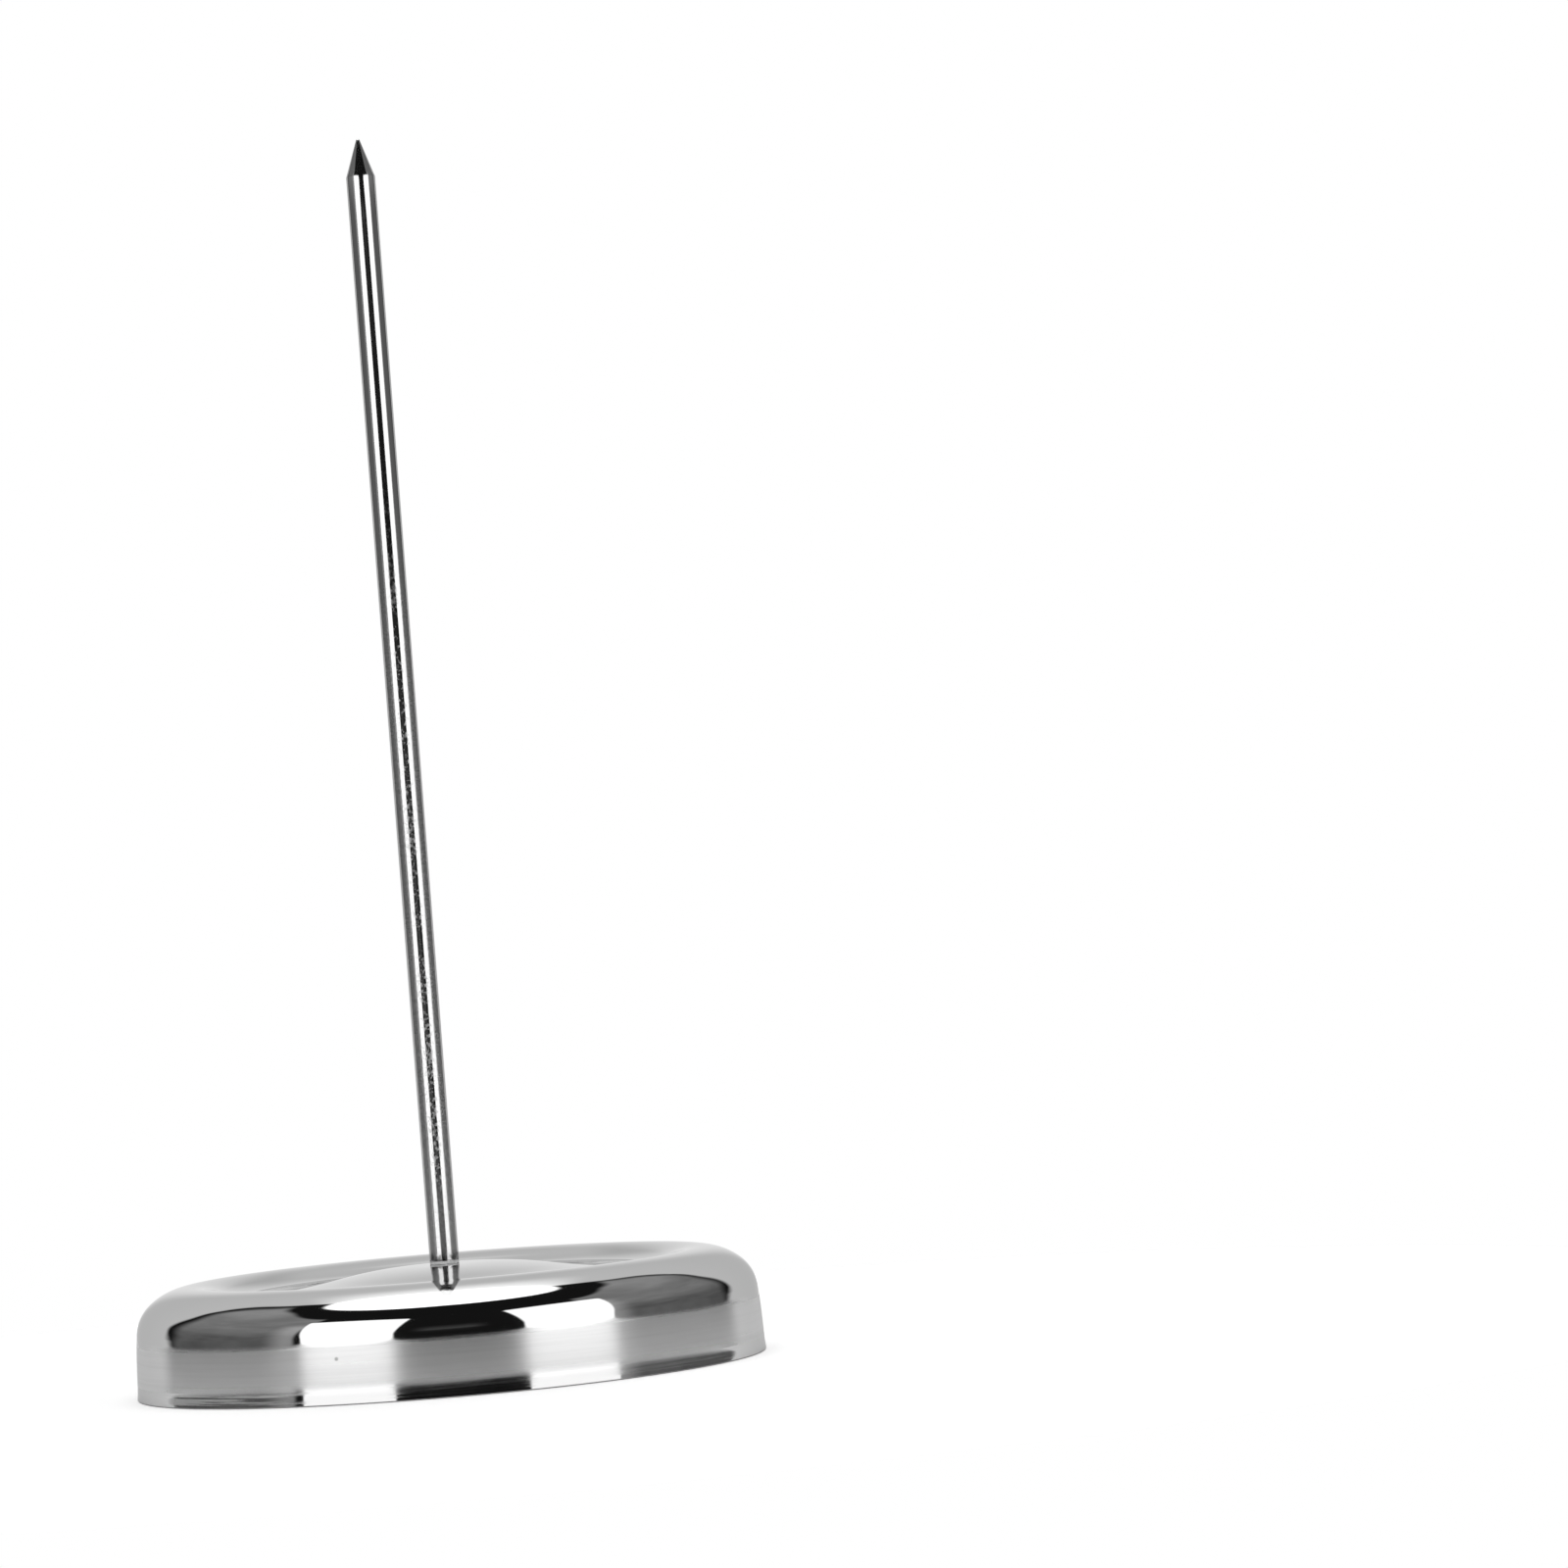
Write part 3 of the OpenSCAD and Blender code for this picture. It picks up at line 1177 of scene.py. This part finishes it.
@dataclass(frozen=True)
class Panel:
    """A glowing sheet of the studio that only the steel and the floor see."""

    name: str
    width: float
    height: float
    centre: Vector
    facing: Vector
    glow: float
    corner: float
    edge: float

    def build(self) -> None:
        """Place the sheet, with its glow fading at a rounded border."""
        across, up = self.width / 2 * MM, self.height / 2 * MM
        mesh = bpy.data.meshes.new(self.name)
        corners = [(-across, -up, 0.0), (across, -up, 0.0), (across, up, 0.0), (-across, up, 0.0)]
        mesh.from_pydata(corners, [], [(0, 1, 2, 3)])
        mesh.materials.append(self.material())
        made = add_object(self.name, mesh)
        made.location = self.centre * MM
        made.rotation_mode = "QUATERNION"
        made.rotation_quaternion = self.facing.to_track_quat("Z", "Y")
        made.visible_camera = False

    def material(self) -> bpy.types.Material:
        """Glow inside a rectangle with round corners, nothing at all outside it.

        Returns:
            The material of the sheet.
        """
        material, graph = new_material(self.name)
        x, y, _ = graph.place()
        past_x = (abs(x) - (self.width / 2 - self.corner)).largest(0.0)
        past_y = (abs(y) - (self.height / 2 - self.corner)).largest(0.0)
        lit = Step(self.corner - self.edge, self.corner).down(graph.length(past_x, past_y))
        glow = graph.node("ShaderNodeEmission", None, {"Strength": self.glow})
        clear = graph.node("ShaderNodeBsdfTransparent")
        graph.mix(lit * (1.0 - graph.behind()), clear, glow)
        return material


@dataclass(frozen=True)
class Walls:
    """The room, painted on the world by direction.

    Side is the bearing off the camera's side, 0 in front of the part and 180 behind it, and
    height is the elevation over the horizon. Dark cloth hangs in front with a sheen low down, a
    grey lobe lies on each side of it, and the pale wall behind starts at an edge whose bearing
    changes with the height.
    """

    black: float = 0.008
    sheen: Step = Step(6.0, 16.0, 0.045)
    sheen_low: Step = Step(1.0, 4.5)
    sheen_from: Step = Step(6.5, 9.0)
    sheen_to: Step = Step(8.0, 20.0)
    cloth_foot: Step = Step(-2.95, -2.3, 0.08)
    lobe: float = 0.105
    lobe_foot: Step = Step(-2.95, -2.3, 0.12)
    lobe_high: Step = Step(8.0, 26.0, 0.095)
    lobe_crown: Step = Step(36.0, 46.0, 0.08)
    lobe_crown_side: Step = Step(85.0, 110.0)
    lobe_near: Step = Step(62.0, 74.0, 0.2)
    lobe_near_top: Step = Step(30.0, 40.0)
    lobe_side: Step = Step(58.0, 60.5)
    lobe_top: float = 50.0
    lobe_top_rise: Step = Step(60.0, 105.0, 9.0)
    lobe_top_blur: float = 3.0
    lobe_end: float = 12.0
    lobe_end_right: Step = Step(-0.1, 0.1, 3.0)
    lobe_gap: float = 2.5
    lobe_gap_right: Step = Step(-0.1, 0.1, 1.5)
    clouds: Pattern = Pattern((1 / 3, 1 / 3, 1 / 8), 2.0, 0.6)
    cloud_swing: float = 0.12
    wall: float = 0.6
    wall_foot: Step = Step(8.0, 32.0, 0.26)
    wall_foot_side: Step = Step(167.0, 177.0)
    wall_top: float = 0.62
    wall_top_heights: tuple[float, float] = (58.0, 67.0)
    wall_top_dip: Step = Step(140.0, 172.0, 16.0)
    edge: float = 128.0
    edge_blur: float = 2.0
    edge_low: Step = Step(6.0, 18.0, 4.0)
    edge_climb: Step = Step(24.0, 50.0)
    edge_climb_by: float = 12.0
    edge_back: Step = Step(47.0, 57.0, 4.0)
    right: Step = Step(-0.1, 0.1)
    right_by: float = 2.0
    right_back: Step = Step(8.0, 18.0, 3.0)
    notch_wide: Step = Step(2.0, 9.0, 1.5)
    notch_mid: Step = Step(0.4, 4.0, 1.8)
    notch_narrow: Step = Step(-0.1, 0.9, 2.2)
    notch_foot: Step = Step(-3.0, -0.2)
    notch_blur: float = 5.0
    notch_blur_foot: Step = Step(-3.0, 0.0, 0.7)
    notch_blur_top: Step = Step(4.0, 12.0)

    def cloth_tone(self, side: Wire, height: Wire) -> Wire:
        """Brightness of the dark cloth in front: black, with a sheen near the horizon."""
        sheen = self.sheen_to.down(height) * self.sheen_from.up(height) + self.sheen_low.down(height)
        return self.black + self.sheen.down(side) * sheen + self.cloth_foot.down(height)

    def lobe_tone(self, side: Wire, height: Wire, clouds: Wire) -> Wire:
        """Brightness of the grey lobes.

        Args:
            side: bearing off the camera's side.
            height: elevation.
            clouds: soft noise over the room.

        Returns:
            The brightness, cloudy and lighter higher up and beside the soft boxes.
        """
        tone = self.lobe + self.lobe_high.up(height) + clouds.swing(self.cloud_swing)
        tone = tone + self.lobe_crown.up(height) * self.lobe_crown_side.up(side)
        tone = tone + self.lobe_near.down(side) * self.lobe_near_top.down(height)
        return tone + self.lobe_foot.down(height)

    def lobe_share(self, side: Wire, height: Wire, edge: Wire, x: Wire) -> Wire:
        """How much of the lobes shows over the cloth.

        Args:
            side: bearing off the camera's side.
            height: elevation.
            edge: bearing of the wall's edge.
            x: part of the direction to the right.

        Returns:
            Share from 0 to 1, between the soft boxes and the wall and under a rising top.
        """
        top = self.lobe_top + self.lobe_top_rise.up(side)
        under_top = 1.0 - height.between(top - self.lobe_top_blur, top)
        fades = edge - (self.lobe_end - self.lobe_end_right.up(x))
        gone = edge - (self.lobe_gap - self.lobe_gap_right.up(x))
        return self.lobe_side.up(side) * under_top * (1.0 - side.between(fades, gone))

    def wall_tone(self, side: Wire, height: Wire) -> Wire:
        """Brightness of the pale wall.

        Args:
            side: bearing off the camera's side.
            height: elevation.

        Returns:
            The brightness, lighter at the wall's foot right behind the part and at its top.
        """
        foot = self.wall_foot_side.up(side) * self.wall_foot.down(height)
        low, high = self.wall_top_heights
        return self.wall + foot + self.wall_top * height.between(low - self.wall_top_dip.up(side), high)

    def wall_share(self, side: Wire, height: Wire, edge: Wire, x: Wire) -> Wire:
        """How much of the wall shows.

        Args:
            side: bearing off the camera's side.
            height: elevation.
            edge: bearing of the wall's edge.
            x: part of the direction to the right.

        Returns:
            Share from 0 to 1. The edge differs a little on the right, and near the horizon it
            has a soft notch towards the front.
        """
        edge = edge + self.right.up(x) * (self.right_by - self.right_back.up(height))
        narrow = self.notch_narrow.down(height) * self.notch_foot.up(height)
        edge = edge - (self.notch_wide.down(height) + self.notch_mid.down(height) + narrow)
        blur = self.notch_blur * (1.0 - self.notch_blur_foot.up(height)) * self.notch_blur_top.down(height)
        return side.between(edge - self.edge_blur - blur, edge + self.edge_blur + blur)

    def build(self) -> None:
        """Paint the world; the camera itself sees plain white."""
        world = bpy.data.worlds.new("studio")
        bpy.context.scene.world = world
        world.use_nodes = True
        graph = Graph(world.node_tree)
        x, y, z = graph.split(graph.wire(graph.node("ShaderNodeTexCoord"), "Generated"))
        side = abs(graph.math("ARCTAN2", x, 0.0 - y)) * math.degrees(1.0)
        height = graph.math("ARCSINE", z) * math.degrees(1.0)
        climb = self.edge_climb_by * self.edge_climb.up(height).between(0.0, 1.0)
        edge = self.edge + self.edge_low.up(height) + climb - self.edge_back.up(height)
        lobe = self.lobe_tone(side, height, self.clouds.at((x, y, z)))
        front = self.cloth_tone(side, height).toward(lobe, self.lobe_share(side, height, edge, x))
        room = front.toward(self.wall_tone(side, height), self.wall_share(side, height, edge, x))
        sockets = {"Color": graph.grey(room.toward(1.0, graph.seen())), "Strength": 1.0}
        glow = graph.node("ShaderNodeBackground", None, sockets)
        graph.node("ShaderNodeOutputWorld", None, {"Surface": graph.wire(glow)})


@dataclass
class Studio:
    """Room round the part: soft boxes, round lamp, walls, floor card and fill lamp."""

    box_distance: float = 600.0
    box_bearings: tuple[float, float] = (-37.0, 43.5)
    box_width: float = 364.0
    box_lean: float = 20.7
    box_foot_z: float = -120.0
    box_top_z: float = 405.0
    box_glow: float = 1.33
    box_corner: float = 18.0
    box_edge: float = 10.0
    lamp_centre: tuple[float, float, float] = (-9.0, -8.0, 350.0)
    lamp_width: float = 312.0
    lamp_depth: float = 286.0
    lamp_glow: float = 1.9
    lamp_edge: float = 14.0
    card_r: float = 180.0
    card_sides: int = 128
    card_drop: float = 0.02
    card_tone: float = 0.82
    card_lift: float = 0.45
    hidden_r: float = 42.6
    hidden_glow: float = 0.7
    fill_power: float = 6.5
    fill_height: float = 1000.0
    fill_size: float = 900.0

    def build(self) -> None:
        """Set up the panels, the walls, the floor card and the fill lamp."""
        for name, bearing in zip(("soft_box_left", "soft_box_right"), self.box_bearings):
            self.soft_box(name, math.radians(bearing))
        self.lamp()
        Walls().build()
        self.card()
        self.fill()

    def soft_box(self, name: str, bearing: float) -> None:
        """Stand a soft box in front of the part, leaning over it.

        Args:
            name: name of the soft box.
            bearing: its bearing off the camera's side, in radians.
        """
        lean = math.radians(self.box_lean)
        away = Vector((math.sin(bearing), -math.cos(bearing), 0.0))
        up = Vector((0.0, 0.0, 1.0))
        middle_z = (self.box_foot_z + self.box_top_z) / 2
        centre = away * (self.box_distance - middle_z * math.tan(lean)) + up * middle_z
        facing = -away * math.cos(lean) - up * math.sin(lean)
        height = (self.box_top_z - self.box_foot_z) / math.cos(lean)
        corner, edge = self.box_corner, self.box_edge
        Panel(name, self.box_width, height, centre, facing, self.box_glow, corner, edge).build()

    def lamp(self) -> None:
        """Hang the lamp with round ends flat over the part."""
        centre, down = Vector(self.lamp_centre), Vector((0.0, 0.0, -1.0))
        corner, edge = self.lamp_depth / 2, self.lamp_edge
        Panel("lamp", self.lamp_width, self.lamp_depth, centre, down, self.lamp_glow, corner, edge).build()

    def card(self) -> None:
        """Lay the round floor card.

        The camera sees it lifted to white where no shadow falls, and sees through it from
        below. The part of it that the base covers glows, so that the inside of the base can be
        looked at from below.
        """
        rim = around(np.array(self.card_r), full_turn(self.card_sides), np.array(-self.card_drop))
        mesh = bpy.data.meshes.new("floor_card")
        mesh.from_pydata((rim * MM).tolist(), [], [list(range(len(rim)))])
        material, graph = new_material("floor_card")
        x, y, _ = graph.place()
        covered = graph.math("LESS_THAN", graph.length(x, y), self.hidden_r)
        lift = self.card_lift * graph.seen() * (1.0 - covered) + self.hidden_glow * covered
        tone = (self.card_tone, self.card_tone, self.card_tone, 1.0)
        paper = graph.node("ShaderNodeBsdfDiffuse", None, {"Color": tone})
        glow = graph.node("ShaderNodeEmission", None, {"Color": graph.grey(lift), "Strength": 1.0})
        top = graph.node("ShaderNodeAddShader", None, {0: graph.wire(paper), 1: graph.wire(glow)})
        graph.mix(graph.behind(), top, graph.node("ShaderNodeBsdfTransparent"))
        mesh.materials.append(material)
        add_object("floor_card", mesh)

    def fill(self) -> None:
        """Hang a wide lamp that lights dull surfaces and leaves no mark in the steel."""
        lamp = bpy.data.lights.new("fill_lamp", "AREA")
        lamp.shape = "DISK"
        lamp.size = self.fill_size * MM
        lamp.energy = self.fill_power
        made = add_object("fill_lamp", lamp)
        made.location = (0.0, 0.0, self.fill_height * MM)
        made.visible_camera = False
        made.visible_glossy = False


@dataclass
class Camera:
    """Long lens, a little above the base, turned and rolled as in the photograph."""

    distance: float = 762.43
    height: float = 55.72
    yaw: float = 3.873
    pitch: float = 1.588
    roll: float = -4.534
    lens: float = 127.33
    sensor: float = 36.0
    nearest: float = 10.0

    def build(self) -> None:
        """Aim the camera: yaw to the right, pitch up, then roll about the line of sight."""
        yaw, pitch, roll = (math.radians(angle) for angle in (self.yaw, self.pitch, self.roll))
        sight = Vector(
            (math.sin(yaw) * math.cos(pitch), math.cos(yaw) * math.cos(pitch), math.sin(pitch))
        )
        right = sight.cross(Vector((0.0, 0.0, 1.0))).normalized()
        up = right.cross(sight)
        turned_right = math.cos(roll) * right + math.sin(roll) * up
        turned_up = math.cos(roll) * up - math.sin(roll) * right
        data = bpy.data.cameras.new("camera")
        data.lens = self.lens
        data.sensor_width = self.sensor
        data.clip_start = self.nearest * MM
        made = add_object("camera", data)
        made.rotation_mode = "QUATERNION"
        made.rotation_quaternion = Matrix((turned_right, turned_up, -sight)).transposed().to_quaternion()
        made.location = (0.0, -self.distance * MM, self.height * MM)
        bpy.context.scene.camera = made


def main() -> None:
    """Load the frame, build and dress each piece, and set up the studio and the camera."""
    logging.basicConfig(level=logging.INFO, format="%(name)s: %(message)s")
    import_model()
    bpy.context.scene.view_settings.view_transform = "Standard"
    Camera().build()
    shell = BaseShell()
    washer = PlainWasher(bottom=shell.seat_z - shell.sheet - PlainWasher.thickness)
    spring = SpringWasher(bottom=washer.bottom - SpringWasher.thickness)
    nut = HexNut(bottom=spring.bottom - HexNut.height)
    spike = SpikeRod(seat_z=shell.seat_z, nut_z=nut.bottom)
    for part in (shell, spike, washer, spring, nut):
        part.dress(part.build())
    Studio().build()


if __name__ == "__main__":
    main()
